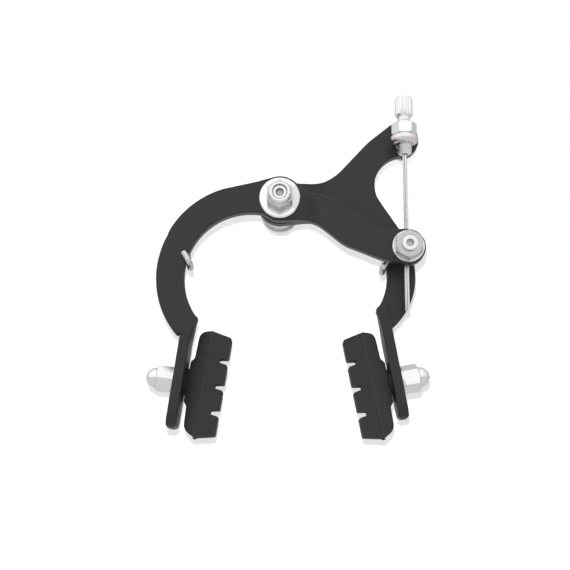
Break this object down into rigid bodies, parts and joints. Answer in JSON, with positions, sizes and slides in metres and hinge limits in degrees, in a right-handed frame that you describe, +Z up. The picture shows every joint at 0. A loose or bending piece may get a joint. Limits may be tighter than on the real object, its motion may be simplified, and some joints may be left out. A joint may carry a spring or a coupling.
{
  "type": "caliper brake",
  "caption": "Side-pull bicycle rim brake: crossed cranked arms on a pivot bolt, notched pads in slotted legs, cable anchor and barrel adjuster, held open by a return spring.",
  "frame": {"origin": "on the pivot bolt's axis, at the outer face of the rear nut, where the free thread starts", "axes": "+X to the right as seen from the front, +Y to the rear along the pivot bolt, +Z up"},
  "size_m": [0.1131, 0.0617, 0.1384],
  "materials": {
    "arm_paint": "satin black coating",
    "bright_steel": "bright plated",
    "zinc_steel": "zinc plated",
    "black_steel": "black oxide",
    "spring_steel": "drawn wire",
    "stop_brass": "nickel plated",
    "bright_aluminium": "machined",
    "pad_rubber": "moulded, matt"
  },
  "bodies": {
    "base": {"pivot_bolt": "bright_steel", "front_washer": "bright_steel", "pivot_jam_nut": "bright_steel", "pivot_lock_nut": "bright_steel", "mid_washer": "zinc_steel", "rear_washer": "zinc_steel", "spring_seat": "zinc_steel", "return_spring": "spring_steel", "toothed_washer": "zinc_steel", "radius_spacer": "bright_aluminium", "frame_washer": "bright_steel", "frame_nut": "bright_steel"},
    "front_caliper_arm": {"front_arm": "arm_paint"},
    "rear_caliper_arm": {"rear_arm": "arm_paint"},
    "anchor": {"anchor_bolt": "bright_steel", "anchor_washer": "bright_steel", "anchor_nut": "bright_steel", "inner_wire": "spring_steel"},
    "stop": {"cable_stop": "stop_brass", "stop_washer": "zinc_steel", "stop_nut": "bright_steel"},
    "barrel": {"barrel_adjuster": "bright_aluminium"},
    "barrel_nut": {"barrel_lock_nut": "bright_aluminium"},
    "left_clamp": {"left_pad_washer": "bright_steel", "left_acorn_nut": "bright_steel"},
    "left_pad": {"left_brake_pad": "pad_rubber", "left_pad_stud": "black_steel"},
    "right_clamp": {"right_pad_washer": "bright_steel", "right_acorn_nut": "bright_steel"},
    "right_pad": {"right_brake_pad": "pad_rubber", "right_pad_stud": "black_steel"}
  },
  "joints": [
    {"name": "front_arm_pivot", "type": "hinge", "parent": "base", "child": "front_caliper_arm", "pos_m": [0, -0.0305, 0], "axis": [0, -1, 0], "range_deg": [0, 10], "stiffness_Nm_per_rad": 0.8, "springref_deg": -34.38, "deforming": ["return_spring"]},
    {"name": "rear_arm_pivot", "type": "hinge", "parent": "base", "child": "rear_caliper_arm", "pos_m": [0, -0.0245, 0], "axis": [0, 1, 0], "range_deg": [0, 10]},
    {"name": "anchor_swivel", "type": "hinge", "parent": "front_caliper_arm", "child": "anchor", "pos_m": [0.0507, -0.034, -0.0204], "axis": [0, -1, 0], "range_deg": [-15, 5]},
    {"name": "stop_swivel", "type": "hinge", "parent": "rear_caliper_arm", "child": "stop", "pos_m": [0.0507, -0.02, 0.0257], "axis": [0, -1, 0], "range_deg": [-5, 12]},
    {"name": "barrel_turn", "type": "hinge", "parent": "stop", "child": "barrel", "pos_m": [0.0507, -0.0289, 0.0257], "axis": [0, 0, 1], "continuous": true},
    {"name": "barrel_nut_turn", "type": "hinge", "parent": "stop", "child": "barrel_nut", "pos_m": [0.0507, -0.0289, 0.03], "axis": [0, 0, 1], "continuous": true},
    {"name": "left_pad_slide", "type": "slide", "parent": "front_caliper_arm", "child": "left_clamp", "axis": [0.1478, 0, 0.989], "range_m": [-0.005, 0.005]},
    {"name": "left_pad_swivel", "type": "hinge", "parent": "left_clamp", "child": "left_pad", "pos_m": [-0.0378, -0.0215, -0.0725], "axis": [0.989, 0, -0.1478], "range_deg": [-95, 95]},
    {"name": "right_pad_slide", "type": "slide", "parent": "rear_caliper_arm", "child": "right_clamp", "axis": [-0.1788, 0, 0.9839], "range_m": [-0.005, 0.005]},
    {"name": "right_pad_swivel", "type": "hinge", "parent": "right_clamp", "child": "right_pad", "pos_m": [0.0444, -0.0215, -0.0727], "axis": [-0.9839, 0, -0.1788], "range_deg": [-95, 95]}
  ],
  "couplings": [
    {"joint": "rear_arm_pivot", "follows": "front_arm_pivot", "ratio": 1},
    {"joint": "anchor_swivel", "follows": "front_arm_pivot", "ratio": -1.17},
    {"joint": "stop_swivel", "follows": "front_arm_pivot", "ratio": 0.83}
  ]
}
